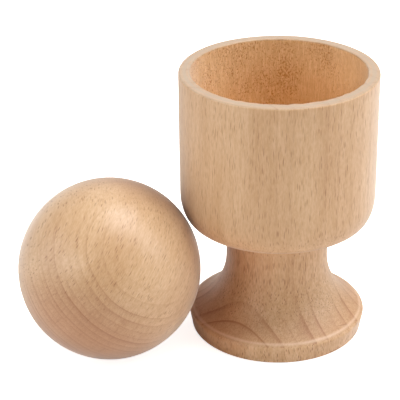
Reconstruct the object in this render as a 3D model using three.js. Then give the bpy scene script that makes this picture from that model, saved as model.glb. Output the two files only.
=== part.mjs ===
// Turned beech ball and cup: a footed cup and a loose ball that stands beside it.
// Millimetres, +Z up. The origin is the centre of the cup's foot, on the surface it stands on.
// The cup's axis is Z, and the ball lies on that surface on the -X side, against the bowl.
import * as THREE from "three";

// Driving dimensions: the cup, from the foot up.
const FOOT_DIAMETER = 44.9; // widest, at the top of the foot's edge
const FOOT_BASE_DIAMETER = 43.6; // where the edge meets the ground
const FOOT_EDGE_HEIGHT = 4.1; // from the ground to the widest point
const FOOT_ROUNDING_HEIGHT = 1.35; // the softened corner above it
const FOOT_ROUNDING_WIDTH = 1.9;
const BASE_EDGE_BREAK = 0.5;
const COVE_HEIGHT = 14.5; // the hollow curve from the foot up to the neck
const COVE_END_SLOPE = 24; // degrees from level, where the curve leaves the foot
const NECK_DIAMETER = 25.7;
const NECK_LENGTH = 4; // its straight stretch
const NECK_FILLET_WIDTH = 1.4; // the hollow under the bowl is part of an ellipse
const NECK_FILLET_HEIGHT = 3.2;
const UNDERSIDE_SLOPE = 27; // degrees from level
const BOWL_DIAMETER = 48.8;
const BOWL_CORNER_WIDTH = 3.2; // the rounded lower corner is part of an ellipse
const BOWL_CORNER_HEIGHT = 6.7;
const CUP_HEIGHT = 69.5;
const WALL_THICKNESS = 2.9;
const RIM_OUTER_ROUNDING = 0.55;
const RIM_INNER_ROUNDING = 0.35;
const FLOOR_THICKNESS = 11; // from the top of the neck to the inside of the bowl
const BORE_CORNER_RADIUS = 7;

// Driving dimensions: the ball.
const BALL_DIAMETER = 45;
const TOUCHING_GAP = 0.3; // left between the ball and the cup where they meet

// Fineness of the round surfaces.
const CUP_SIDES = 64;
const ARC_STEP = 1.2; // along the rounded stretches of the cup's profile
const ARC_LEAST_STEPS = 3;
const BALL_SIDES = 56;
const BALL_RINGS = 28;

const BEECH = 0xd9ad82;
const PALE_BEECH = 0xe2b98c;

const radians = THREE.MathUtils.degToRad;

// Points on part of an ellipse in the profile's plane, where x is the radius and y the height.
function ellipseArc(centreX, centreY, radiusX, radiusY, from, to) {
  const clockwise = to < from;
  const curve = new THREE.EllipseCurve(centreX, centreY, radiusX, radiusY, from, to, clockwise);
  const steps = Math.max(ARC_LEAST_STEPS, Math.ceil(curve.getLength() / ARC_STEP));
  return curve.getPoints(steps);
}

function lastOf(points) {
  return points[points.length - 1];
}

// The angle on an ellipse, from its widest point, at which its tangent has the given slope from level.
function ellipseAngleAtSlope(radiusX, radiusY, slope) {
  return Math.atan2(radiusY, radiusX * Math.tan(slope));
}

// The foot: flat base, nearly upright edge, softened corner.
function footProfile() {
  const baseRadius = FOOT_BASE_DIAMETER / 2;
  const footRadius = FOOT_DIAMETER / 2;
  const corner = ellipseArc(
    footRadius - FOOT_ROUNDING_WIDTH,
    FOOT_EDGE_HEIGHT,
    FOOT_ROUNDING_WIDTH,
    FOOT_ROUNDING_HEIGHT,
    0,
    ellipseAngleAtSlope(FOOT_ROUNDING_WIDTH, FOOT_ROUNDING_HEIGHT, radians(COVE_END_SLOPE)),
  );
  return [
    new THREE.Vector2(0, 0),
    new THREE.Vector2(baseRadius - BASE_EDGE_BREAK, 0),
    new THREE.Vector2(baseRadius, BASE_EDGE_BREAK),
    ...corner,
  ];
}

// The cove: part of the ellipse that leaves the foot's corner at its slope and is upright at the neck.
function coveProfile(start) {
  const neckRadius = NECK_DIAMETER / 2;
  const run = start.x - neckRadius;
  const sweep = radians(90 - COVE_END_SLOPE);
  const radiusX = run / (1 - Math.cos(sweep));
  const radiusY = COVE_HEIGHT / Math.sin(sweep);
  const neckBottom = start.y + COVE_HEIGHT;
  return ellipseArc(neckRadius + radiusX, neckBottom, radiusX, radiusY, Math.PI + sweep, Math.PI);
}

// The neck, the fillet under the bowl, the sloping underside and the bowl's rounded lower corner.
function undersideProfile(neckBottom) {
  const neckRadius = NECK_DIAMETER / 2;
  const slope = radians(UNDERSIDE_SLOPE);
  const neckTop = neckBottom + NECK_LENGTH;
  const fillet = ellipseArc(
    neckRadius + NECK_FILLET_WIDTH,
    neckTop,
    NECK_FILLET_WIDTH,
    NECK_FILLET_HEIGHT,
    Math.PI,
    Math.PI - ellipseAngleAtSlope(NECK_FILLET_WIDTH, NECK_FILLET_HEIGHT, slope),
  );
  const filletEnd = lastOf(fillet);
  const angle = ellipseAngleAtSlope(BOWL_CORNER_WIDTH, BOWL_CORNER_HEIGHT, slope);
  const cornerCentreX = BOWL_DIAMETER / 2 - BOWL_CORNER_WIDTH;
  const cornerStartX = cornerCentreX + BOWL_CORNER_WIDTH * Math.cos(angle);
  const cornerStartY = filletEnd.y + (cornerStartX - filletEnd.x) * Math.tan(slope);
  const cornerCentreY = cornerStartY + BOWL_CORNER_HEIGHT * Math.sin(angle);
  const corner = ellipseArc(
    cornerCentreX,
    cornerCentreY,
    BOWL_CORNER_WIDTH,
    BOWL_CORNER_HEIGHT,
    2 * Math.PI - angle,
    2 * Math.PI,
  );
  return [...fillet, ...corner];
}

// The rim, the bore and its floor, ending on the axis.
function insideProfile(neckTop) {
  const bowlRadius = BOWL_DIAMETER / 2;
  const boreRadius = bowlRadius - WALL_THICKNESS;
  const floorHeight = neckTop + FLOOR_THICKNESS;
  const quarter = Math.PI / 2;
  const outerEdge = ellipseArc(
    bowlRadius - RIM_OUTER_ROUNDING,
    CUP_HEIGHT - RIM_OUTER_ROUNDING,
    RIM_OUTER_ROUNDING,
    RIM_OUTER_ROUNDING,
    0,
    quarter,
  );
  const innerEdge = ellipseArc(
    boreRadius + RIM_INNER_ROUNDING,
    CUP_HEIGHT - RIM_INNER_ROUNDING,
    RIM_INNER_ROUNDING,
    RIM_INNER_ROUNDING,
    quarter,
    2 * quarter,
  );
  const boreCorner = ellipseArc(
    boreRadius - BORE_CORNER_RADIUS,
    floorHeight + BORE_CORNER_RADIUS,
    BORE_CORNER_RADIUS,
    BORE_CORNER_RADIUS,
    4 * quarter,
    3 * quarter,
  );
  return [...outerEdge, ...innerEdge, ...boreCorner, new THREE.Vector2(0, floorHeight)];
}

function cupProfile() {
  const foot = footProfile();
  const cove = coveProfile(lastOf(foot));
  const neckBottom = lastOf(cove).y;
  const underside = undersideProfile(neckBottom);
  const inside = insideProfile(neckBottom + NECK_LENGTH);
  return [...foot, ...cove.slice(1), ...underside, ...inside];
}

// How far from the cup's axis the ball's centre lies, so that it clears every point of the profile.
function ballDistance(profile) {
  const ballRadius = BALL_DIAMETER / 2;
  const reach = ballRadius + TOUCHING_GAP;
  const distances = profile
    .filter((point) => Math.abs(point.y - ballRadius) < reach)
    .map((point) => point.x + Math.sqrt(reach ** 2 - (point.y - ballRadius) ** 2));
  return Math.max(...distances);
}

function makeCup(profile) {
  const geometry = new THREE.LatheGeometry(profile, CUP_SIDES);
  geometry.rotateX(Math.PI / 2); // the lathe's axis is Y
  const material = new THREE.MeshStandardMaterial({ color: BEECH, roughness: 0.55, metalness: 0 });
  const cup = new THREE.Mesh(geometry, material);
  cup.name = "cup";
  return cup;
}

function makeBall(distance) {
  const geometry = new THREE.SphereGeometry(BALL_DIAMETER / 2, BALL_SIDES, BALL_RINGS);
  geometry.rotateX(Math.PI / 2); // a pole rests on the ground
  const material = new THREE.MeshStandardMaterial({ color: PALE_BEECH, roughness: 0.45, metalness: 0 });
  const ball = new THREE.Mesh(geometry, material);
  ball.name = "ball";
  ball.position.set(-distance, 0, BALL_DIAMETER / 2);
  return ball;
}

const profile = cupProfile();
const ballAndCup = new THREE.Group();
ballAndCup.add(makeCup(profile), makeBall(ballDistance(profile)));

export default ballAndCup;
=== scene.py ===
"""A turned beech ball and cup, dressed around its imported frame.

The file is laid out as an add-on: settings that a user would change, one operator for each piece and one
for the stage, and a panel in the 3D view's sidebar. Lengths are in metres. Only the wood's own coordinates,
which run through the log that each piece was cut from, are in millimetres.
"""

import math

import bpy
from mathutils import Matrix, Vector


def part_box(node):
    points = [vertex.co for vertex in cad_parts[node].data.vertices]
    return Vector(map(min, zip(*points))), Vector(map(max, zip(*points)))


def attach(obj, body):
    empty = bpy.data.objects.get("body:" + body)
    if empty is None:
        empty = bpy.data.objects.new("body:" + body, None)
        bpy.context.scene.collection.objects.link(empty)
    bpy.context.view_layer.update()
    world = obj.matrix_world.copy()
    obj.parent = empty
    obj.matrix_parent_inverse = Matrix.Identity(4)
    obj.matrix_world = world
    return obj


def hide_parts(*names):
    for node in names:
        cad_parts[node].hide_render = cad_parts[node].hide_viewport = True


bl_info = {
    "name": "Beech Ball and Cup",
    "version": (1, 0, 0),
    "blender": (4, 5, 0),
    "location": "View3D > Sidebar > Ball and Cup",
    "description": "Turns a beech cup and ball and sets them on a light table",
    "category": "Add Mesh",
}

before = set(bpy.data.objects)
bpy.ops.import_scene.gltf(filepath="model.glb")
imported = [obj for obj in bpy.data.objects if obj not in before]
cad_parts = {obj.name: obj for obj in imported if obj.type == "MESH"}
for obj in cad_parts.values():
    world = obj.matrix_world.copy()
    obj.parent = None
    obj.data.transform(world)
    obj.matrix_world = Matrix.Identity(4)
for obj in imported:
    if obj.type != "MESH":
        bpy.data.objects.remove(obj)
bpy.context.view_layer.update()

MM = 0.001
QUARTER_TURN = math.pi / 2
CUP_LOW, CUP_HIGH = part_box("cup")
BALL_LOW, BALL_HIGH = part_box("ball")


# Settings


class CupSettings(bpy.types.PropertyGroup):
    """The cup's sizes. Its height and its bowl's width come from the frame."""

    height: bpy.props.FloatProperty(
        name="Height",
        description="From the table to the rim",
        default=CUP_HIGH.z,
        unit="LENGTH",
    )
    bowl_radius: bpy.props.FloatProperty(
        name="Bowl Radius",
        description="Outside radius of the bowl",
        default=CUP_HIGH.x,
        unit="LENGTH",
    )
    wall: bpy.props.FloatProperty(
        name="Wall",
        description="Thickness of the bowl's wall at the rim",
        default=2.9 * MM,
        unit="LENGTH",
    )
    neck_radius: bpy.props.FloatProperty(
        name="Neck Radius",
        description="Radius of the straight part of the neck",
        default=12.85 * MM,
        unit="LENGTH",
    )
    neck_length: bpy.props.FloatProperty(
        name="Neck Length",
        description="Length of the straight part of the neck",
        default=4 * MM,
        unit="LENGTH",
    )
    foot_radius: bpy.props.FloatProperty(
        name="Foot Radius",
        description="Radius of the foot where it is widest",
        default=22.45 * MM,
        unit="LENGTH",
    )
    foot_edge: bpy.props.FloatProperty(
        name="Foot Edge",
        description="Height of the foot's widest point above the table",
        default=4.1 * MM,
        unit="LENGTH",
    )
    floor_thickness: bpy.props.FloatProperty(
        name="Floor Thickness",
        description="Wood between the top of the neck and the inside of the bowl",
        default=11 * MM,
        unit="LENGTH",
    )
    sides: bpy.props.IntProperty(
        name="Sides",
        description="Number of faces around the cup",
        default=224,
        min=32,
    )


class BallSettings(bpy.types.PropertyGroup):
    """The ball's size and place come from the frame. Its grain lies as the ball happened to roll."""

    radius: bpy.props.FloatProperty(
        name="Radius",
        description="Radius of the ball",
        default=(BALL_HIGH.z - BALL_LOW.z) / 2,
        unit="LENGTH",
    )
    centre: bpy.props.FloatVectorProperty(
        name="Centre",
        description="Centre of the resting ball",
        default=(BALL_LOW + BALL_HIGH) / 2,
        subtype="XYZ",
        unit="LENGTH",
    )
    smoothness: bpy.props.IntProperty(
        name="Smoothness",
        description="How many times the block is rounded over before it is trued",
        default=6,
        min=3,
        max=7,
    )
    grain: bpy.props.FloatVectorProperty(
        name="Grain",
        description="Direction that the fibres run through the ball",
        default=(0.544, 0.596, 0.591),
        subtype="DIRECTION",
    )
    outwards: bpy.props.FloatVectorProperty(
        name="Outwards",
        description="Direction from the heart of the log to the ball, across the grain",
        default=(0.331, -0.802, 0.498),
        subtype="DIRECTION",
    )


class WoodSettings(bpy.types.PropertyGroup):
    """The tones of the beech, with the painted highlight and painted shade that are laid over them."""

    pale: bpy.props.FloatVectorProperty(
        name="Pale Wood",
        description="The lighter early wood",
        default=(0.69, 0.455, 0.26),
        subtype="COLOR",
    )
    warm: bpy.props.FloatVectorProperty(
        name="Warm Wood",
        description="The deeper tone that drifts through the pale wood",
        default=(0.62, 0.385, 0.205),
        subtype="COLOR",
    )
    late: bpy.props.FloatVectorProperty(
        name="Late Wood",
        description="The thin dark line that ends each year's growth",
        default=(0.42, 0.19, 0.075),
        subtype="COLOR",
    )
    end: bpy.props.FloatVectorProperty(
        name="End Grain",
        description="The redder tone where the surface cuts across the fibres",
        default=(0.52, 0.28, 0.145),
        subtype="COLOR",
    )
    fleck: bpy.props.FloatVectorProperty(
        name="Ray Flecks",
        description="The short dark dashes that rays leave in beech",
        default=(0.29, 0.10, 0.028),
        subtype="COLOR",
    )
    worn: bpy.props.FloatVectorProperty(
        name="Worn Rim",
        description="The duller tone of the rim, where hands and sanding have softened it",
        default=(0.46, 0.355, 0.25),
        subtype="COLOR",
    )
    end_cast: bpy.props.FloatVectorProperty(
        name="End Grain Cast",
        description="How much darker and redder finely sanded end grain is",
        default=(0.82, 0.73, 0.70),
        subtype="COLOR",
    )
    # painted highlight: a lighter colour laid along the foot's crest, where the rounded edge would catch the
    # top light
    rubbed_and_painted_highlight: bpy.props.FloatVectorProperty(
        name="Rubbed Edges and Painted Highlight",
        description="The lighter line along the top of the foot, where the wood is rubbed smooth",
        default=(0.88, 0.66, 0.46),
        subtype="COLOR",
    )
    # painted shade: a darker, redder cast laid on the hollow beside the resting ball, standing in for its
    # shade and the warm light bounced off the ball
    painted_ball_shade: bpy.props.FloatVectorProperty(
        name="Painted Ball Shade",
        description="The redder cast of the hollow that the resting ball shelters",
        default=(1.0, 0.66, 0.50),
        subtype="COLOR",
    )
    torn: bpy.props.FloatVectorProperty(
        name="Torn Grain",
        description="The darker pits that a cutter leaves inside the bowl",
        default=(0.55, 0.24, 0.06),
        subtype="COLOR",
    )
    bore: bpy.props.FloatVectorProperty(
        name="Bored Wood",
        description="The warmer tone of the wood inside the bowl",
        default=(0.95, 0.63, 0.30),
        subtype="COLOR",
    )


class StageSettings(bpy.types.PropertyGroup):
    """The camera and the light table."""

    azimuth: bpy.props.FloatProperty(
        name="Azimuth",
        description="How far the view is turned from looking along +Y towards looking along +X",
        default=math.radians(16.65),
        subtype="ANGLE",
    )
    elevation: bpy.props.FloatProperty(
        name="Elevation",
        description="How far the view looks down",
        default=math.radians(26.24),
        subtype="ANGLE",
    )
    roll: bpy.props.FloatProperty(
        name="Roll",
        description="Turn of the camera about its own line of sight",
        default=math.radians(-0.71),
        subtype="ANGLE",
    )
    distance: bpy.props.FloatProperty(
        name="Distance",
        description="From the camera to the point that it looks at",
        default=0.381,
        unit="LENGTH",
    )
    target: bpy.props.FloatVectorProperty(
        name="Target",
        description="The point that the camera looks at",
        default=(-0.0193, 0.0034, 0.0359),
        subtype="XYZ",
        unit="LENGTH",
    )
    lens: bpy.props.FloatProperty(
        name="Lens",
        description="Focal length in millimetres on a 36 mm sensor",
        default=137.4,
    )
    table_colour: bpy.props.FloatVectorProperty(
        name="Table",
        description="Colour of the paper on the light table",
        default=(0.92, 0.85, 0.78),
        subtype="COLOR",
    )


SETTINGS = {
    "beech_cup": CupSettings,
    "beech_ball": BallSettings,
    "beech_wood": WoodSettings,
    "beech_stage": StageSettings,
}


# Modelling

ARC_LEAST_STEPS = 3
MERGE_DISTANCE = 0.001 * MM


def deselect_all():
    if bpy.context.mode != "OBJECT":
        bpy.ops.object.mode_set(mode="OBJECT")
    bpy.ops.object.select_all(action="DESELECT")


def apply_modifier(piece, modifier):
    bpy.context.view_layer.objects.active = piece
    bpy.ops.object.modifier_apply(modifier=modifier.name)


def arc(centre, radii, start, end, step):
    """Points (radius, height) along part of an ellipse, a step or less apart, from angle start to end."""
    length = abs(end - start) * max(radii)
    count = max(ARC_LEAST_STEPS, math.ceil(length / step))
    points = []
    for i in range(count + 1):
        angle = start + (end - start) * i / count
        points.append((centre[0] + radii[0] * math.cos(angle), centre[1] + radii[1] * math.sin(angle)))
    return points


def angle_at_slope(radii, slope):
    """The angle on an ellipse, from its widest point, where its tangent has that slope from level."""
    return math.atan2(radii[1], radii[0] * math.tan(slope))


def straight(start, end, step):
    """Points between two points, without the ends, a step or less apart."""
    length = math.dist(start, end)
    count = math.ceil(length / step)
    return [
        (start[0] + (end[0] - start[0]) * i / count, start[1] + (end[1] - start[1]) * i / count)
        for i in range(1, count)
    ]


def turn_on_lathe(name, outline, sides):
    """Draw an outline of (radius, height) points from the axis to the axis, then spin it into a solid."""
    deselect_all()
    bpy.ops.mesh.primitive_plane_add(size=MM, location=(0, 0, 0))
    piece = bpy.context.active_object
    piece.name = name
    piece.data.name = name
    bpy.ops.object.mode_set(mode="EDIT")
    bpy.ops.mesh.merge(type="CENTER")
    place = Vector((0, 0, 0))
    for radius, height in outline[1:]:
        point = Vector((radius, 0, height))
        bpy.ops.mesh.extrude_region_move(TRANSFORM_OT_translate={"value": point - place})
        place = point
    bpy.ops.mesh.select_all(action="SELECT")
    bpy.ops.mesh.spin(steps=sides, angle=2 * math.pi, center=(0, 0, 0), axis=(0, 0, 1))
    bpy.ops.mesh.select_all(action="SELECT")
    bpy.ops.mesh.remove_doubles(threshold=MERGE_DISTANCE)
    bpy.ops.mesh.normals_make_consistent(inside=False)
    bpy.ops.object.mode_set(mode="OBJECT")
    bpy.ops.object.shade_smooth()
    return piece


def sand_unevenly(piece, depth, patch, group=""):
    """Press shallow unevenness into a piece, in patches of that size, as sanding by hand leaves it."""
    clouds = bpy.data.textures.new(f"{piece.name}_unevenness", "CLOUDS")
    clouds.noise_scale = patch
    clouds.noise_depth = 1
    modifier = piece.modifiers.new("Unevenness", "DISPLACE")
    modifier.texture = clouds
    modifier.texture_coords = "LOCAL"
    modifier.mid_level = 0.5
    modifier.strength = depth
    modifier.vertex_group = group
    apply_modifier(piece, modifier)


def add_group(piece, name, weigh):
    """A vertex group in which each vertex has the weight that weigh gives for its place."""
    group = piece.vertex_groups.new(name=name)
    for vertex in piece.data.vertices:
        weight = weigh(vertex.co)
        if weight > 0:
            group.add([vertex.index], weight, "REPLACE")
    return group.name


def near(distance, reach):
    """1 at no distance, falling smoothly to 0 at the reach."""
    return max(0.0, 1.0 - distance / reach) ** 2


def nearness(edges, place):
    """How near a place is to the nearest of some edges (radius, height, reach), from 0 to 1."""
    spot = (math.hypot(place.x, place.y), place.z)
    return max(near(math.dist(spot, edge[:2]), edge[2]) for edge in edges)


def add_attribute(piece, name, weigh):
    """Store on each vertex the value that weigh gives for its place."""
    attribute = piece.data.attributes.new(name, "FLOAT", "POINT")
    for vertex in piece.data.vertices:
        attribute.data[vertex.index].value = weigh(vertex.co)


# Shader nodes


class NodeBench:
    """Adds nodes to a tree. Each call gives back the new node's output, ready for another's input."""

    COLUMNS = 9
    COLUMN_WIDTH = 220
    ROW_HEIGHT = 300

    def __init__(self, tree):
        self.tree = tree

    def add(self, kind, inputs=None, output=0, **settings):
        made = self.tree.nodes.new(kind)
        row, column = divmod(len(self.tree.nodes), self.COLUMNS)
        made.location = (self.COLUMN_WIDTH * column, -self.ROW_HEIGHT * row)
        for name, value in settings.items():
            setattr(made, name, value)
        for key, value in (inputs or {}).items():
            if isinstance(value, bpy.types.NodeSocket):
                self.tree.links.new(value, made.inputs[key])
            else:
                made.inputs[key].default_value = value
        return made.outputs[output] if made.outputs else None

    def math(self, operation, *values):
        return self.add("ShaderNodeMath", dict(enumerate(values)), operation=operation)

    def vector(self, operation, *values, output="Vector"):
        return self.add("ShaderNodeVectorMath", dict(enumerate(values)), output, operation=operation)

    def smooth(self, value, low, high, start=0.0, end=1.0):
        """start below low, end above high, and a smooth step between."""
        inputs = {"Value": value, "From Min": low, "From Max": high, "To Min": start, "To Max": end}
        return self.add("ShaderNodeMapRange", inputs, "Result", interpolation_type="SMOOTHSTEP")

    def swell(self, value, rise, fall):
        """0, rising to 1 over the first range and falling to 0 again over the second."""
        return self.math("MULTIPLY", self.smooth(value, *rise), self.smooth(value, *fall, 1.0, 0.0))

    def blend(self, factor, first, second, how="MIX"):
        """Mix two colours."""
        inputs = {"Factor": factor, 6: first, 7: second}
        return self.add("ShaderNodeMix", inputs, 2, data_type="RGBA", blend_type=how)

    def noise(self, place, scale=1.0, detail=2.0, roughness=0.5, output="Fac"):
        inputs = {"Vector": place, "Scale": scale, "Detail": detail, "Roughness": roughness}
        return self.add("ShaderNodeTexNoise", inputs, output)

    def stretched(self, place, across, around, along):
        """The wood's place, scaled so that one unit is that many millimetres each way."""
        return self.vector("DIVIDE", place, (across, around, along))

    def centred(self, value, strength):
        """A value that lies around 0.5, moved to lie around 0 and scaled."""
        return self.math("MULTIPLY", self.math("SUBTRACT", value, 0.5), strength)

    def parts(self, vector):
        """The X, Y and Z of a vector."""
        return self.add("ShaderNodeSeparateXYZ", {0: vector}, "X").node.outputs

    def attribute(self, name):
        """A value that the piece stores on its vertices."""
        return self.add("ShaderNodeAttribute", output="Fac", attribute_name=name)

    def group(self, tree, inputs, output):
        """A shared effect, and one of its outputs."""
        return self.add("ShaderNodeGroup", inputs, output, node_tree=tree)


def new_effect(name, inputs, outputs):
    """An empty node group with named inputs (name, kind, default) and outputs (name, kind)."""
    tree = bpy.data.node_groups.new(name, "ShaderNodeTree")
    for title, kind, default in inputs:
        socket = tree.interface.new_socket(name=title, in_out="INPUT", socket_type=f"NodeSocket{kind}")
        if default is not None:
            socket.default_value = default
    for title, kind in outputs:
        tree.interface.new_socket(name=title, in_out="OUTPUT", socket_type=f"NodeSocket{kind}")
    bench = NodeBench(tree)
    given = tree.nodes.new("NodeGroupInput")
    result = tree.nodes.new("NodeGroupOutput")
    return tree, bench, given.outputs, result.inputs


def log_place_effect():
    """Where a point lies in the log, in millimetres: measured round its heart, and straight."""
    tree, bench, given, result = new_effect(
        "Place in the Log",
        [("Position", "Vector", None), ("Mean Radius", "Float", 45.0), ("Drift", "Float", 1.6)],
        [("Round", "Vector"), ("Straight", "Vector")],
    )
    drift = bench.noise(bench.stretched(given["Position"], 34, 34, 60), detail=1.0, output="Color")
    drift = bench.vector("SUBTRACT", drift, (0.5, 0.5, 0.5))
    inputs = {0: drift, "Scale": given["Drift"]}
    drift = bench.add("ShaderNodeVectorMath", inputs, "Vector", operation="SCALE")
    place = bench.vector("ADD", given["Position"], drift)
    flat = bench.vector("MULTIPLY", place, (1, 1, 0))
    across = bench.vector("LENGTH", flat, output="Value")
    parts = bench.parts(place)
    angle = bench.math("ARCTAN2", parts["Y"], parts["X"])
    around = bench.math("MULTIPLY", angle, given["Mean Radius"])
    combined = bench.add("ShaderNodeCombineXYZ", {"X": across, "Y": around, "Z": parts["Z"]})
    tree.links.new(combined, result["Round"])
    tree.links.new(place, result["Straight"])
    return tree


def growth_rings_effect():
    """The years' growth: tone that deepens through each ring, and the thin dark line that ends it."""
    tree, bench, given, result = new_effect(
        "Growth Rings",
        [
            ("Place", "Vector", None),
            ("Spacing", "Float", 3.6),
            ("Start", "Float", 0.0),
            ("Last", "Float", 200.0),
            ("Fade From", "Float", 12.0),
            ("Fade To", "Float", 24.0),
            ("Faded", "Float", 0.6),
        ],
        [("Shade", "Float"), ("Line", "Float")],
    )
    parts = bench.parts(given["Place"])
    waver = bench.noise(bench.stretched(given["Place"], 30, 16, 45), detail=2.0)
    across = bench.math("ADD", parts["X"], bench.centred(waver, 1.5))
    across = bench.math("SUBTRACT", across, given["Start"])
    years = bench.math("DIVIDE", across, given["Spacing"])
    inputs = {"W": years, "Scale": 0.7, "Detail": 0.0}
    uneven = bench.add("ShaderNodeTexNoise", inputs, "Fac", noise_dimensions="1D")
    years = bench.math("ADD", years, bench.centred(uneven, 0.6))
    season = bench.math("FRACT", years)
    year = bench.math("FLOOR", years)
    luck = bench.add("ShaderNodeTexWhiteNoise", {"W": year}, "Value", noise_dimensions="1D")
    luck = bench.smooth(luck, 0.1, 0.9, 0.25, 1.0)
    line = bench.math("MULTIPLY", bench.swell(season, (0.74, 0.95), (0.955, 0.995)), luck)
    shade = bench.math("MULTIPLY", bench.swell(season, (0.15, 0.95), (0.955, 1.0)), luck)
    past_last = bench.math("GREATER_THAN", parts["X"], given["Last"])
    shown = bench.smooth(parts["Z"], given["Fade From"], given["Fade To"], 1.0, given["Faded"])
    shown = bench.math("MULTIPLY", shown, bench.math("SUBTRACT", 1.0, past_last))
    tree.links.new(bench.math("MULTIPLY", shade, shown), result["Shade"])
    tree.links.new(bench.math("MULTIPLY", line, shown), result["Line"])
    return tree


def ray_flecks_effect():
    """Rays: thin upright plates that run out from the heart, seen as dashes or as lines on the end grain."""
    tree, bench, given, result = new_effect(
        "Ray Flecks",
        [
            ("Place", "Vector", None),
            ("Size", "Vector", (9.0, 0.5, 3.6)),
            ("Fullness", "Float", 0.3),
            ("Share", "Float", 0.6),
        ],
        [("Flecks", "Float")],
    )
    waver = bench.noise(bench.stretched(given["Place"], 6, 2.5, 5), detail=1.0, output="Color")
    waver = bench.vector("SUBTRACT", waver, (0.5, 0.5, 0.5))
    waver = bench.vector("MULTIPLY", waver, (0.0, 0.5, 0.0))
    place = bench.vector("DIVIDE", bench.vector("ADD", given["Place"], waver), given["Size"])
    cells = bench.add("ShaderNodeTexVoronoi", {"Vector": place, "Scale": 1.0}, "Distance").node.outputs
    reach = bench.math("DIVIDE", cells["Distance"], given["Fullness"])
    body = bench.smooth(reach, 0.35, 1.0, 1.0, 0.0)
    luck = bench.add("ShaderNodeSeparateColor", {0: cells["Color"]}, "Red").node.outputs
    there = bench.math("LESS_THAN", luck["Red"], given["Share"])
    depth = bench.smooth(luck["Green"], 0.0, 1.0, 0.35, 1.0)
    flecks = bench.math("MULTIPLY", bench.math("MULTIPLY", body, there), depth)
    tree.links.new(flecks, result["Flecks"])
    return tree


def fibres_effect():
    """Pores, and streaks and bands of lighter and darker fibre along the grain, all lying around 0.5."""
    tree, bench, given, result = new_effect(
        "Fibres",
        [("Place", "Vector", None)],
        [("Pores", "Float"), ("Streaks", "Float"), ("Bands", "Float")],
    )
    pores = bench.noise(bench.stretched(given["Place"], 0.34, 0.26, 1.2), detail=1.0)
    fine = bench.noise(bench.stretched(given["Place"], 0.9, 0.42, 6.5), detail=3.0, roughness=0.6)
    broad = bench.noise(bench.stretched(given["Place"], 4.0, 2.4, 28.0), detail=2.0, roughness=0.5)
    tree.links.new(pores, result["Pores"])
    tree.links.new(fine, result["Streaks"])
    tree.links.new(broad, result["Bands"])
    return tree


def end_grain_effect():
    """1 where the surface cuts straight across the fibres, 0 where it runs along them."""
    tree, bench, given, result = new_effect(
        "End Grain",
        [("Normal", "Vector", None), ("Grain", "Vector", (0.0, 0.0, 1.0))],
        [("Mask", "Float")],
    )
    along = bench.vector("DOT_PRODUCT", given["Normal"], given["Grain"], output="Value")
    mask = bench.smooth(bench.math("ABSOLUTE", along), 0.45, 0.98)
    tree.links.new(mask, result["Mask"])
    return tree


def torn_grain_effect():
    """Small pits where a cutter has lifted the fibres instead of slicing them."""
    tree, bench, given, result = new_effect(
        "Torn Grain", [("Place", "Vector", None), ("Patchiness", "Float", 0.5)], [("Pits", "Float")]
    )
    pits = bench.noise(bench.stretched(given["Place"], 0.38, 0.34, 0.5), detail=2.0, roughness=0.55)
    patches = bench.noise(bench.stretched(given["Place"], 9, 7, 12), detail=1.0)
    patches = bench.centred(patches, given["Patchiness"])
    pits = bench.smooth(bench.math("ADD", pits, patches), 0.52, 0.70)
    tree.links.new(pits, result["Pits"])
    return tree


def edge_wear_and_highlight_effect():
    """Where hands and sanding have softened an edge, and where a painted highlight runs along the foot's
    crest, broken up so that it isn't an even stripe.
    """
    tree, bench, given, result = new_effect(
        "Edge Wear and Highlight", [("Edge", "Float", 0.0), ("Position", "Vector", None)], [("Wear and Highlight", "Float")]
    )
    broken = bench.noise(bench.stretched(given["Position"], 3.0, 3.0, 3.0), detail=3.0)
    broken = bench.math("MULTIPLY", bench.centred(broken, 0.9), given["Edge"])
    edge = bench.math("ADD", given["Edge"], broken)
    tree.links.new(bench.smooth(edge, 0.15, 0.9), result["Wear and Highlight"])
    return tree


EFFECTS = {
    "place": log_place_effect,
    "rings": growth_rings_effect,
    "flecks": ray_flecks_effect,
    "fibres": fibres_effect,
    "end_grain": end_grain_effect,
    "torn": torn_grain_effect,
    "wear_and_highlight": edge_wear_and_highlight_effect,
}
built_effects = {}


def effect(name):
    """The shared effect of that name, built the first time it is asked for."""
    if name not in built_effects:
        built_effects[name] = EFFECTS[name]()
    return built_effects[name]


# Materials

CUP_RING_SPACING = 3.8  # millimetres, as are all lengths in the wood's own coordinates
STREAK_WARMTH = {"Red": 1.0, "Green": 1.7, "Blue": 2.6}  # darker fibres lose more green and blue than red


class LogFrame:
    """How a piece lay in the log: which way its fibres run, and where the heart of the log is."""

    def __init__(self, grain, outwards, centre, heart_distance):
        along = Vector(grain).normalized()
        across = Vector(outwards)
        across = (across - along * across.dot(along)).normalized()
        around = along.cross(across)
        self.grain = along
        self.mean_radius = heart_distance / MM
        self.turn = Matrix((across, around, along))
        heart = Vector(centre) - across * heart_distance
        self.offset = -(self.turn @ heart) / MM

    def mapping(self):
        """Inputs of a Mapping node that takes object coordinates to millimetres beside the heart."""
        return {
            "Location": self.offset,
            "Rotation": self.turn.to_euler("XYZ"),
            "Scale": (1 / MM, 1 / MM, 1 / MM),
        }


def colour(value):
    return (*value, 1.0)


def glaze(bench, base, tone, mask, strength):
    """Lay a tone over the base, where the mask is and as strongly as asked."""
    return bench.blend(bench.math("MULTIPLY", mask, strength), base, colour(tone))


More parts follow.
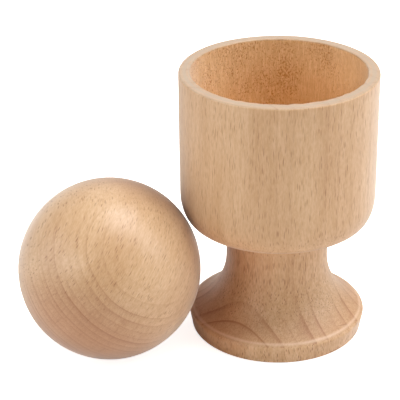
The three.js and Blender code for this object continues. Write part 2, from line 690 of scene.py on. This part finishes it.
def start_beech(name, log, ring_inputs):
    """The figure that every beech surface shares: its place in the log and the masks made from it."""
    material = bpy.data.materials.new(name)
    material.use_nodes = True
    material.node_tree.nodes.clear()
    bench = NodeBench(material.node_tree)
    coordinates = bench.add("ShaderNodeTexCoord", output="Object").node.outputs
    position = bench.add("ShaderNodeMapping", {"Vector": coordinates["Object"], **log.mapping()})
    inputs = {"Position": position, "Mean Radius": log.mean_radius}
    places = bench.group(effect("place"), inputs, "Round").node.outputs
    rings = bench.group(effect("rings"), {"Place": places["Round"], **ring_inputs}, "Line").node.outputs
    fibres = bench.group(effect("fibres"), {"Place": places["Straight"]}, "Streaks").node.outputs
    inputs = {"Normal": coordinates["Normal"], "Grain": log.grain}
    masks = {
        "position": position,
        "round": places["Round"],
        "straight": places["Straight"],
        "ring_shade": rings["Shade"],
        "ring_line": rings["Line"],
        "pores": fibres["Pores"],
        "streaks": fibres["Streaks"],
        "bands": fibres["Bands"],
        "end_grain": bench.group(effect("end_grain"), inputs, "Mask"),
    }
    return material, bench, masks


def finish_beech(material, bench, base, roughness, height, relief, sheen=0.5, coat=0.0):
    """The shader itself: satin wood, with its relief as fine bump."""
    inputs = {"Height": height, "Strength": 1.0, "Distance": relief}
    normal = bench.add("ShaderNodeBump", inputs, "Normal")
    surface = bench.add(
        "ShaderNodeBsdfPrincipled",
        {
            "Base Color": base,
            "Roughness": roughness,
            "Normal": normal,
            "IOR": 1.5,
            "Specular IOR Level": 0.5,
            "Sheen Weight": sheen,
            "Sheen Roughness": 0.4,
            "Coat Weight": coat,
            "Coat Roughness": 0.3,
        },
    )
    bench.add("ShaderNodeOutputMaterial", {"Surface": surface})
    return material


def beech_colour(bench, wood, masks, flecks, shade, line, fleck, streak):
    """Pale and warm wood drifting into each other, under rings, end grain, streaks and flecks.

    shade, line, fleck and streak say how strongly each of them shows.
    """
    drift = bench.noise(bench.stretched(masks["straight"], 14, 12, 60), detail=2.0)
    drift = bench.math("ADD", drift, bench.centred(masks["bands"], 0.5))
    drift = bench.smooth(drift, 0.32, 0.72)
    base = bench.blend(drift, colour(wood.pale), colour(wood.warm))
    across_grain = bench.smooth(masks["end_grain"], 0.0, 0.6, 0.3, 1.0)
    for mask, strength in ((masks["ring_shade"], shade), (masks["ring_line"], line)):
        base = glaze(bench, base, wood.late, bench.math("MULTIPLY", mask, across_grain), strength)
    base = glaze(bench, base, wood.end, masks["end_grain"], strength=0.45)
    fibres = bench.math("MULTIPLY", bench.math("ADD", masks["streaks"], masks["pores"]), 0.5)
    fibres = bench.smooth(fibres, 0.34, 0.66, 0.84, 1.10)
    channels = {}
    for channel, warmth in STREAK_WARMTH.items():
        channels[channel] = bench.math("POWER", fibres, bench.math("MULTIPLY", streak, warmth))
    base = bench.blend(1.0, base, bench.add("ShaderNodeCombineColor", channels), "MULTIPLY")
    return glaze(bench, base, wood.fleck, flecks, fleck)


def fleck_masks(bench, masks, depth, length, fine_share, bold_share):
    """Many fine flecks, a few bold ones, and rays seen end on, as thin lines, where the grain ends."""
    layers = (
        # size across, around and along the grain, how full and how common, how dark
        ((depth, 0.25, length), 0.48, fine_share, 0.85),
        ((1.4 * depth, 0.36, 1.8 * length), 0.34, bold_share, 1.0),
    )
    together = 0.0
    for size, fullness, share, darkness in layers:
        inputs = {"Place": masks["straight"], "Size": size, "Fullness": fullness, "Share": share}
        flecks = bench.group(effect("flecks"), inputs, "Flecks")
        together = bench.math("MAXIMUM", together, bench.math("MULTIPLY", flecks, darkness))
    together = bench.math("MULTIPLY", together, bench.smooth(masks["end_grain"], 0.0, 1.0, 1.0, 0.4))
    inputs = {"Place": masks["round"], "Size": (9.0, 0.6, 2.5), "Fullness": 0.34, "Share": 0.5}
    rays = bench.group(effect("flecks"), inputs, "Flecks")
    rays = bench.math("MULTIPLY", bench.math("MULTIPLY", rays, masks["end_grain"]), 0.5)
    return bench.math("MAXIMUM", together, rays)


def beech_height(bench, masks, flecks):
    """Relief of the surface: raised fibres and sunken flecks."""
    raised = bench.math("MULTIPLY", bench.math("ADD", masks["streaks"], masks["pores"]), 0.25)
    return bench.math("SUBTRACT", raised, bench.math("MULTIPLY", flecks, 0.5))


def beech_roughness(bench, masks, flecks, base):
    """Rougher in flecks and on end grain."""
    rough = bench.smooth(masks["streaks"], 0.2, 0.8, base - 0.04, base + 0.05)
    rough = bench.math("ADD", rough, bench.math("MULTIPLY", flecks, 0.15))
    return bench.math("ADD", rough, bench.math("MULTIPLY", masks["end_grain"], 0.08))


def bold_ring_mask(bench, masks, bold_ring):
    """One year's line, darker than the rest, at that distance from the heart."""
    across = bench.parts(masks["round"])["X"]
    off_ring = bench.math("ABSOLUTE", bench.math("SUBTRACT", across, bold_ring))
    ring = bench.smooth(off_ring, 0.05, 0.3, 0.85, 0.0)
    return bench.math("MULTIPLY", ring, bench.smooth(masks["end_grain"], 0.0, 0.5, 0.15, 1.0))


def edge_wear_and_highlight_mask(bench, masks, attribute):
    """Where the attribute marks an edge, broken up: the worn rim, and the foot's crest with its painted
    highlight.
    """
    inputs = {"Edge": bench.attribute(attribute), "Position": masks["position"]}
    return bench.group(effect("wear_and_highlight"), inputs, "Wear and Highlight")


def turned_beech(wood, log, bold_ring):
    """The outside of the cup: upright grain, flecks, one bold ring, a worn rim, a rubbed foot with a painted
    highlight along its crest, and painted shade beside the ball.
    """
    rings = {"Spacing": CUP_RING_SPACING, "Start": bold_ring}
    material, bench, masks = start_beech("turned_beech", log, rings)
    flecks = fleck_masks(bench, masks, depth=0.36, length=2.6, fine_share=0.40, bold_share=0.34)
    above_table = bench.parts(masks["position"])["Z"]
    roughly_sanded = bench.smooth(above_table, 20.0, 30.0, 1.3, 0.9)
    fleck = bench.math("MULTIPLY", roughly_sanded, 0.75)
    streak = bench.math("MULTIPLY", roughly_sanded, 0.5)
    base = beech_colour(bench, wood, masks, flecks, shade=0.35, line=0.95, fleck=fleck, streak=streak)
    base = bench.blend(bold_ring_mask(bench, masks, bold_ring), base, colour(wood.late))
    worn = bench.math("MULTIPLY", edge_wear_and_highlight_mask(bench, masks, "edge"), masks["end_grain"])
    base = glaze(bench, base, wood.worn, worn, strength=0.75)
    # painted highlight: a lighter line painted along the foot's crest; the lower roughness there is the real
    # gloss of rubbed wood
    rubbed_and_painted_highlight = edge_wear_and_highlight_mask(bench, masks, "rubbed_and_painted_highlight")
    base = glaze(bench, base, wood.rubbed_and_painted_highlight, rubbed_and_painted_highlight, strength=0.45)
    # painted shade: the hollow beside the resting ball is made darker and redder, standing in for its shade
    # and the warm bounce light
    base = bench.blend(bench.attribute("painted_ball_shade"), base, colour(wood.painted_ball_shade), "MULTIPLY")
    rough = beech_roughness(bench, masks, flecks, base=0.47)
    rough = bench.math("SUBTRACT", rough, bench.math("MULTIPLY", rubbed_and_painted_highlight, 0.12))
    height = beech_height(bench, masks, flecks)
    return finish_beech(material, bench, base, rough, height, relief=0.03 * MM)


def bored_beech(wood, log, bold_ring):
    """The inside of the bowl: warmer and rougher, with torn grain that a finish sinks into."""
    rings = {"Spacing": CUP_RING_SPACING, "Start": bold_ring}
    material, bench, masks = start_beech("bored_beech", log, rings)
    flecks = fleck_masks(bench, masks, depth=0.45, length=2.2, fine_share=0.6, bold_share=0.5)
    base = beech_colour(bench, wood, masks, flecks, shade=0.2, line=0.3, fleck=1.0, streak=2.1)
    base = bench.blend(0.6, base, colour(wood.bore))
    inputs = {"Place": masks["straight"], "Patchiness": 0.45}
    pits = bench.group(effect("torn"), inputs, "Pits")
    base = glaze(bench, base, wood.torn, pits, strength=0.9)
    rough = beech_roughness(bench, masks, flecks, base=0.62)
    height = bench.math("SUBTRACT", beech_height(bench, masks, flecks), pits)
    return finish_beech(material, bench, base, rough, height, relief=0.06 * MM)


def sanded_beech(wood, log):
    """The ball: finely sanded all round, so its grain shows every way that a saw could cut it."""
    rings = {"Spacing": 1.6, "Last": 91.5, "Fade From": -4.0, "Fade To": 8.0, "Faded": 0.25}
    material, bench, masks = start_beech("sanded_beech", log, rings)
    flecks = fleck_masks(bench, masks, depth=1.2, length=1.9, fine_share=0.42, bold_share=0.12)
    base = beech_colour(bench, wood, masks, flecks, shade=0.75, line=0.95, fleck=0.75, streak=0.5)
    base = bench.blend(masks["end_grain"], base, colour(wood.end_cast), "MULTIPLY")
    rough = beech_roughness(bench, masks, flecks, base=0.38)
    height = beech_height(bench, masks, flecks)
    return finish_beech(material, bench, base, rough, height, relief=0.02 * MM, sheen=0.65, coat=0.1)


# Operators


class CupOutline:
    """The cup's outline as (radius, height) points, from the middle of its base to the middle of its bowl.

    crest is the top of the foot's edge, and floor the height of the bowl's floor.
    """

    BASE_TAPER = 0.65 * MM
    BASE_EDGE_BREAK = 0.5 * MM
    FOOT_ROUNDING = (1.9 * MM, 1.35 * MM)
    COVE_HEIGHT = 14.5 * MM
    COVE_END_SLOPE = math.radians(24)
    NECK_FILLET = (1.4 * MM, 3.2 * MM)
    UNDERSIDE_SLOPE = math.radians(27)
    BOWL_CORNER = (3.2 * MM, 6.7 * MM)
    RIM_OUTER_ROUNDING = 0.55 * MM
    RIM_INNER_ROUNDING = 0.35 * MM
    BORE_CORNER = 7 * MM

    # Steps between points
    FINE = 0.08 * MM
    MIDDLE = 0.35 * MM
    COARSE = 1.2 * MM

    def __init__(self, cup):
        self.cup = cup
        self.bore_radius = cup.bowl_radius - cup.wall
        foot = self.foot()
        self.crest = foot[-1]
        cove = self.cove(self.crest)
        neck_bottom = cove[-1][1]
        underside = self.underside(neck_bottom)
        self.floor = neck_bottom + cup.neck_length + cup.floor_thickness
        self.points = [*foot, *cove, *underside, *self.inside(underside[-1])]

    def foot(self):
        cup = self.cup
        base = cup.foot_radius - self.BASE_TAPER
        edge_break = arc(
            (base - self.BASE_EDGE_BREAK, self.BASE_EDGE_BREAK),
            (self.BASE_EDGE_BREAK, self.BASE_EDGE_BREAK),
            -QUARTER_TURN,
            0,
            self.FINE,
        )
        corner = arc(
            (cup.foot_radius - self.FOOT_ROUNDING[0], cup.foot_edge),
            self.FOOT_ROUNDING,
            0,
            angle_at_slope(self.FOOT_ROUNDING, self.COVE_END_SLOPE),
            self.FINE * 2,
        )
        flat = straight((0, 0), edge_break[0], self.COARSE)
        side = straight(edge_break[-1], corner[0], self.MIDDLE)
        return [(0, 0), *flat, *edge_break, *side, *corner]

    def cove(self, start):
        run = start[0] - self.cup.neck_radius
        sweep = QUARTER_TURN - self.COVE_END_SLOPE
        radii = (run / (1 - math.cos(sweep)), self.COVE_HEIGHT / math.sin(sweep))
        centre = (self.cup.neck_radius + radii[0], start[1] + self.COVE_HEIGHT)
        return arc(centre, radii, math.pi + sweep, math.pi, self.MIDDLE)[1:]

    def underside(self, neck_bottom):
        cup = self.cup
        neck_top = neck_bottom + cup.neck_length
        fillet = arc(
            (cup.neck_radius + self.NECK_FILLET[0], neck_top),
            self.NECK_FILLET,
            math.pi,
            math.pi - angle_at_slope(self.NECK_FILLET, self.UNDERSIDE_SLOPE),
            self.FINE * 2,
        )
        angle = angle_at_slope(self.BOWL_CORNER, self.UNDERSIDE_SLOPE)
        centre_radius = cup.bowl_radius - self.BOWL_CORNER[0]
        run = centre_radius + self.BOWL_CORNER[0] * math.cos(angle) - fillet[-1][0]
        corner_start = fillet[-1][1] + run * math.tan(self.UNDERSIDE_SLOPE)
        centre = (centre_radius, corner_start + self.BOWL_CORNER[1] * math.sin(angle))
        corner = arc(centre, self.BOWL_CORNER, -angle, 0, self.MIDDLE)
        neck = straight((cup.neck_radius, neck_bottom), fillet[0], self.MIDDLE)
        slope = straight(fillet[-1], corner[0], self.MIDDLE)
        return [*neck, *fillet, *slope, *corner]

    def inside(self, start):
        cup = self.cup
        outer = arc(
            (cup.bowl_radius - self.RIM_OUTER_ROUNDING, cup.height - self.RIM_OUTER_ROUNDING),
            (self.RIM_OUTER_ROUNDING, self.RIM_OUTER_ROUNDING),
            0,
            QUARTER_TURN,
            self.FINE,
        )
        inner = arc(
            (self.bore_radius + self.RIM_INNER_ROUNDING, cup.height - self.RIM_INNER_ROUNDING),
            (self.RIM_INNER_ROUNDING, self.RIM_INNER_ROUNDING),
            QUARTER_TURN,
            2 * QUARTER_TURN,
            self.FINE,
        )
        corner = arc(
            (self.bore_radius - self.BORE_CORNER, self.floor + self.BORE_CORNER),
            (self.BORE_CORNER, self.BORE_CORNER),
            0,
            -QUARTER_TURN,
            self.MIDDLE,
        )
        side = straight(start, outer[0], self.COARSE)
        rim = straight(outer[-1], inner[0], self.MIDDLE)
        wall = straight(inner[-1], corner[0], self.COARSE)
        bottom = straight(corner[-1], (0, self.floor), self.COARSE)
        return [*side, *outer, *rim, *inner, *wall, *corner, *bottom, (0, self.floor)]


class BEECH_OT_cup(bpy.types.Operator):
    """Turn the cup, soften its edges and give it its wood"""

    bl_idname = "beech.turn_cup"
    bl_label = "Turn Cup"

    HEART_DIRECTION = (-0.776, -0.631, 0)
    HEART_DISTANCE = 45.5 * MM
    BOLD_RING = 27.5  # millimetres from the heart
    LIP_REACH = 1 * MM
    CREST_REACH = 1.3 * MM
    # reach, top, fade and greatest strength of the painted shade beside the ball
    BALL_SHADE_REACH = 20 * MM
    BALL_SHADE_TOP = 38 * MM
    BALL_SHADE_FADE = 12 * MM
    BALL_SHADE_MOST = 0.5
    BORED_MARGIN = 0.1 * MM
    BORED_TOP = 0.4 * MM  # below the rim

    def execute(self, context):
        cup = context.scene.beech_cup
        wood = context.scene.beech_wood
        outline = CupOutline(cup)
        piece = turn_on_lathe("turned_cup", outline.points, cup.sides)
        self.soften(piece, cup, outline)
        self.mark_wear_and_painted_light(piece, cup, outline, context.scene.beech_ball)
        outwards = -Vector(self.HEART_DIRECTION)
        log = LogFrame((0, 0, 1), outwards, (0, 0, 0), self.HEART_DISTANCE)
        piece.data.materials.append(turned_beech(wood, log, self.BOLD_RING))
        piece.data.materials.append(bored_beech(wood, log, self.BOLD_RING))
        self.give_inside_its_own_wood(piece, cup, outline)
        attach(piece, "cup")
        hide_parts("cup")
        return {"FINISHED"}

    def soften(self, piece, cup, outline):
        """Uneven sanding everywhere but on the base, and most where the bore meets the rim."""
        sanded = add_group(piece, "sanded", lambda place: 1.0 if place.z > MM else 0.0)
        sand_unevenly(piece, depth=0.07 * MM, patch=9 * MM, group=sanded)
        corner = ((outline.bore_radius, cup.height, self.LIP_REACH),)
        lip = add_group(piece, "lip", lambda place: nearness(corner, place))
        sand_unevenly(piece, depth=0.5 * MM, patch=1.8 * MM, group=lip)

    def mark_wear_and_painted_light(self, piece, cup, outline, ball):
        """Store where the rim is worn, where the foot is rubbed and carries a painted highlight, and where
        painted shade darkens the hollow beside the ball.
        """
        rim = (
            # radius, height and how far the wear reaches
            (cup.bowl_radius, cup.height, 2.0 * MM),
            ((cup.bowl_radius + outline.bore_radius) / 2, cup.height, 2.6 * MM),
            (outline.bore_radius, cup.height, 2.2 * MM),
        )
        crest = ((*outline.crest, self.CREST_REACH),)
        ball_centre = Vector(ball.centre)

        # painted shade: strongest close to the resting ball and low on the cup, fading with the gap and with
        # height
        def ball_shade_weight(place):
            gap = (place - ball_centre).length - ball.radius
            beside = max(0.0, 1 - gap / self.BALL_SHADE_REACH)
            below = max(0.0, (self.BALL_SHADE_TOP - place.z) / self.BALL_SHADE_FADE)
            return min(self.BALL_SHADE_MOST, beside) * min(1.0, below)

        add_attribute(piece, "edge", lambda place: nearness(rim, place))
        add_attribute(piece, "rubbed_and_painted_highlight", lambda place: nearness(crest, place))
        add_attribute(piece, "painted_ball_shade", ball_shade_weight)

    def give_inside_its_own_wood(self, piece, cup, outline):
        """The second material goes on the faces inside the bowl."""
        for face in piece.data.polygons:
            centre = face.center
            in_bore = math.hypot(centre.x, centre.y) < outline.bore_radius + self.BORED_MARGIN
            below_rim = outline.floor - MM < centre.z < cup.height - self.BORED_TOP
            face.material_index = 1 if in_bore and below_rim else 0


class BEECH_OT_ball(bpy.types.Operator):
    """Round a block over into the ball, true it and give it its wood"""

    bl_idname = "beech.turn_ball"
    bl_label = "Turn Ball"

    HEART_DISTANCE = 70 * MM

    def execute(self, context):
        ball = context.scene.beech_ball
        centre = Vector(ball.centre)
        deselect_all()
        bpy.ops.mesh.primitive_cube_add(size=2 * ball.radius, location=centre)
        piece = bpy.context.active_object
        piece.name = "turned_ball"
        piece.data.name = "turned_ball"
        rounding = piece.modifiers.new("Rounding", "SUBSURF")
        rounding.levels = ball.smoothness
        rounding.render_levels = ball.smoothness
        apply_modifier(piece, rounding)
        truing = piece.modifiers.new("Truing", "CAST")
        truing.cast_type = "SPHERE"
        truing.factor = 1.0
        truing.use_radius_as_size = False
        truing.size = ball.radius
        apply_modifier(piece, truing)
        bpy.ops.object.transform_apply(location=True, rotation=True, scale=True)
        bpy.ops.object.shade_smooth()
        sand_unevenly(piece, depth=0.06 * MM, patch=11 * MM)
        log = LogFrame(ball.grain, ball.outwards, centre, self.HEART_DISTANCE)
        piece.data.materials.append(sanded_beech(context.scene.beech_wood, log))
        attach(piece, "ball")
        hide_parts("ball")
        return {"FINISHED"}


class BEECH_OT_stage(bpy.types.Operator):
    """Set up the light table, the soft lights and the camera"""

    bl_idname = "beech.set_stage"
    bl_label = "Set Stage"

    TABLE_SIZE = 6.0
    TABLE_GLOW = 0.8
    SENSOR_WIDTH = 36  # millimetres, like the lens
    WHITE = (1.0, 1.0, 1.0)
    COOL = (0.95, 1.0, 1.1)
    LIGHTS = (
        # name, direction from the object, distance, side of the square, power in watts, colour
        ("top_softbox", (0.27, -0.03, 0.96), 0.9, 0.55, 7.5, WHITE),
        ("right_softbox", (0.9, -0.35, 0.7), 1.0, 0.7, 4.4, COOL),
        ("left_softbox", (-1.0, -0.43, 0.46), 1.1, 0.4, 2.1, WHITE),
        ("far_left_softbox", (-1.0, 0.15, 0.35), 1.0, 0.7, 2.9, COOL),
        ("back_softbox", (0.1, 0.9, 0.6), 1.0, 0.7, 0.6, WHITE),
    )
    WORLD_STRENGTH = 0.2

    def execute(self, context):
        stage = context.scene.beech_stage
        self.add_table(stage)
        self.add_lights(Vector(stage.target))
        self.add_world(context.scene)
        self.add_camera(context.scene, stage)
        context.scene.view_settings.view_transform = "Standard"
        return {"FINISHED"}

    def add_table(self, stage):
        deselect_all()
        bpy.ops.mesh.primitive_plane_add(size=self.TABLE_SIZE, location=(0, 0, 0))
        table = bpy.context.active_object
        table.name = "light_table"
        material = bpy.data.materials.new("light_table")
        material.use_nodes = True
        material.node_tree.nodes.clear()
        bench = NodeBench(material.node_tree)
        position = bench.add("ShaderNodeTexCoord", output="Object")
        mottle = bench.noise(position, scale=9.0, detail=2.0)
        seen = bench.add("ShaderNodeLightPath", output="Is Camera Ray")
        surface = bench.add(
            "ShaderNodeBsdfPrincipled",
            {
                "Base Color": colour(stage.table_colour),
                "Roughness": bench.smooth(mottle, 0.3, 0.7, 0.65, 0.8),
                "Emission Color": bench.blend(seen, (0, 0, 0, 1), (1, 1, 1, 1)),
                "Emission Strength": self.TABLE_GLOW,
            },
        )
        bench.add("ShaderNodeOutputMaterial", {"Surface": surface})
        table.data.materials.append(material)

    def add_lights(self, target):
        for name, direction, distance, side, power, tint in self.LIGHTS:
            towards = Vector(direction).normalized()
            bpy.ops.object.light_add(type="AREA", location=target + towards * distance)
            light = bpy.context.active_object
            light.name = name
            light.rotation_euler = towards.to_track_quat("Z", "Y").to_euler()
            light.data.shape = "SQUARE"
            light.data.size = side
            light.data.energy = power
            light.data.color = tint

    def add_world(self, scene):
        world = bpy.data.worlds.new("studio")
        world.use_nodes = True
        background = world.node_tree.nodes["Background"]
        background.inputs["Color"].default_value = (1, 1, 1, 1)
        background.inputs["Strength"].default_value = self.WORLD_STRENGTH
        scene.world = world

    def add_camera(self, scene, stage):
        forward = Vector((
            math.sin(stage.azimuth) * math.cos(stage.elevation),
            math.cos(stage.azimuth) * math.cos(stage.elevation),
            -math.sin(stage.elevation),
        ))
        level = Vector((math.cos(stage.azimuth), -math.sin(stage.azimuth), 0))
        upright = level.cross(forward)
        right = level * math.cos(stage.roll) + upright * math.sin(stage.roll)
        up = upright * math.cos(stage.roll) - level * math.sin(stage.roll)
        bpy.ops.object.camera_add(location=Vector(stage.target) - forward * stage.distance)
        camera = bpy.context.active_object
        camera.name = "camera"
        camera.rotation_euler = Matrix((right, up, -forward)).transposed().to_euler()
        camera.data.lens = stage.lens
        camera.data.sensor_width = self.SENSOR_WIDTH
        camera.data.clip_start = 10 * MM
        scene.camera = camera


class BEECH_PT_panel(bpy.types.Panel):
    """The set's operators and settings"""

    bl_idname = "BEECH_PT_panel"
    bl_label = "Ball and Cup"
    bl_space_type = "VIEW_3D"
    bl_region_type = "UI"
    bl_category = "Ball and Cup"

    def draw(self, context):
        for operator in OPERATORS:
            self.layout.operator(operator.bl_idname)
        for name in SETTINGS:
            box = self.layout.box()
            settings = getattr(context.scene, name)
            for setting in settings.__annotations__:
                box.prop(settings, setting)


OPERATORS = (BEECH_OT_cup, BEECH_OT_ball, BEECH_OT_stage)
CLASSES = (*SETTINGS.values(), *OPERATORS, BEECH_PT_panel)


def register():
    for made in CLASSES:
        bpy.utils.register_class(made)
    for name, settings in SETTINGS.items():
        setattr(bpy.types.Scene, name, bpy.props.PointerProperty(type=settings))


def unregister():
    for name in SETTINGS:
        delattr(bpy.types.Scene, name)
    for made in reversed(CLASSES):
        bpy.utils.unregister_class(made)


def main():
    register()
    bpy.ops.beech.turn_cup()
    bpy.ops.beech.turn_ball()
    bpy.ops.beech.set_stage()


if __name__ == "__main__":
    main()
